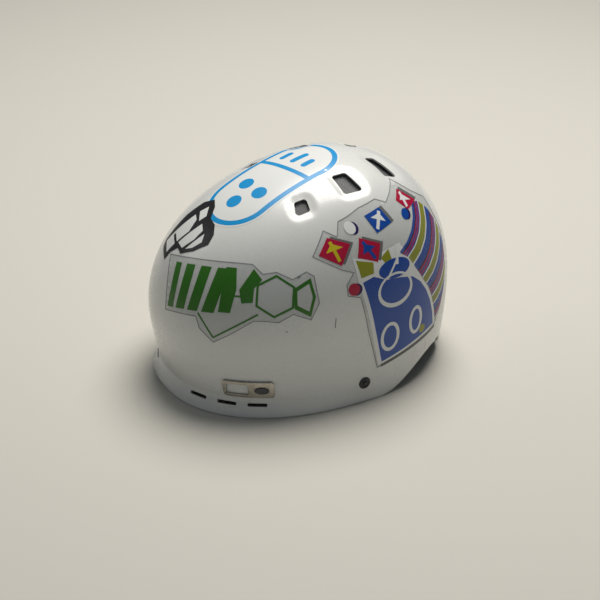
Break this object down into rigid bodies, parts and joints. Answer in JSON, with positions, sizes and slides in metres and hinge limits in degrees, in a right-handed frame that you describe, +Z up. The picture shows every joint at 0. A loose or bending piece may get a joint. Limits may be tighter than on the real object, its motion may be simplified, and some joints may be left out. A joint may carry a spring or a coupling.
{
  "type": "hard-shell helmet",
  "caption": "Brimmed hard-shell sports helmet with foam liner, crown vents, webbing harness, side-release buckle and dial fit system, standing on its brim.",
  "frame": {"origin": "middle of the helmet's bounding box at the surface that it stands on", "axes": "+Z up, the brim at the front faces -Y, +X is the wearer's left"},
  "size_m": [0.2152, 0.2852, 0.1986],
  "materials": {
    "shell_white": "gloss",
    "sticker_print": "gloss",
    "liner_foam": "matte",
    "vent_mesh": "satin",
    "badge_chrome": "polished",
    "badge_enamel": "gloss",
    "black_nylon": "satin",
    "washer_steel": "satin",
    "webbing": "matte",
    "pad_fabric": "matte",
    "dial_rubber": "matte"
  },
  "bodies": {
    "helmet": {"badge": "badge_chrome", "badge_emblem": "badge_enamel", "brow_pad": "pad_fabric", "buckle_socket": "black_nylon", "chin_pad": "pad_fabric", "chin_strap_left": "webbing", "chin_strap_right": "webbing", "crown_pad_front": "pad_fabric", "crown_pad_middle": "pad_fabric", "fit_stem": "black_nylon", "liner": "liner_foam", "nape_pad_left": "pad_fabric", "nape_pad_right": "pad_fabric", "rivet_washer_front_left": "washer_steel", "rivet_washer_front_right": "washer_steel", "rivet_washer_rear_left": "washer_steel", "rivet_washer_rear_right": "washer_steel", "shell": "shell_white", "side_pad_left": "pad_fabric", "side_pad_right": "pad_fabric", "stem_pin": "black_nylon", "strap_divider_left": "black_nylon", "strap_divider_right": "black_nylon", "strap_front_left": "webbing", "strap_front_right": "webbing", "strap_rear_left": "webbing", "strap_rear_right": "webbing", "strap_rivet_front_left": "black_nylon", "strap_rivet_front_right": "black_nylon", "strap_rivet_rear_left": "black_nylon", "strap_rivet_rear_right": "black_nylon", "vent_mesh_left_front": "vent_mesh", "vent_mesh_left_middle": "vent_mesh", "vent_mesh_left_rear": "vent_mesh", "vent_mesh_right_front": "vent_mesh", "vent_mesh_right_middle": "vent_mesh", "vent_mesh_right_rear": "vent_mesh"},
    "fit_unit": {"fit_housing": "black_nylon", "fit_cover": "black_nylon"},
    "dial": {"fit_dial": "dial_rubber", "fit_pinion": "black_nylon"},
    "band_left": {"fit_band_left": "black_nylon"},
    "band_right": {"fit_band_right": "black_nylon"},
    "plug": {"buckle_plug": "black_nylon"},
    "prong_front": {"buckle_prong_front": "black_nylon"},
    "prong_rear": {"buckle_prong_rear": "black_nylon"}
  },
  "joints": [
    {"name": "fit_height", "type": "slide", "parent": "helmet", "child": "fit_unit", "axis": [0, 0, 1], "range_m": [-0.008, 0]},
    {"name": "dial_turn", "type": "hinge", "parent": "fit_unit", "child": "dial", "pos_m": [0, 0.1035, 0.03], "axis": [0, 1, 0], "range_deg": [-140, 140]},
    {"name": "band_left_slide", "type": "slide", "parent": "fit_unit", "child": "band_left", "axis": [1, 0, 0], "range_m": [-0.0088, 0.0088]},
    {"name": "band_right_slide", "type": "slide", "parent": "fit_unit", "child": "band_right", "axis": [1, 0, 0], "range_m": [-0.0088, 0.0088]},
    {"name": "buckle_slide", "type": "slide", "parent": "helmet", "child": "plug", "axis": [-1, 0, 0], "range_m": [0, 0.022], "deforming": ["chin_strap_right"]},
    {"name": "prong_front_squeeze", "type": "hinge", "parent": "plug", "child": "prong_front", "pos_m": [-0.0012, -0.0745, 0.0057], "axis": [0, 0, 1], "range_deg": [0, 8], "stiffness_Nm_per_rad": 0.02},
    {"name": "prong_rear_squeeze", "type": "hinge", "parent": "plug", "child": "prong_rear", "pos_m": [-0.0012, -0.0575, 0.0057], "axis": [0, 0, -1], "range_deg": [0, 8], "stiffness_Nm_per_rad": 0.02}
  ],
  "couplings": [
    {"joint": "band_left_slide", "follows": "dial_turn", "m_per_rad": 0.0036},
    {"joint": "band_right_slide", "follows": "dial_turn", "m_per_rad": -0.0036}
  ]
}
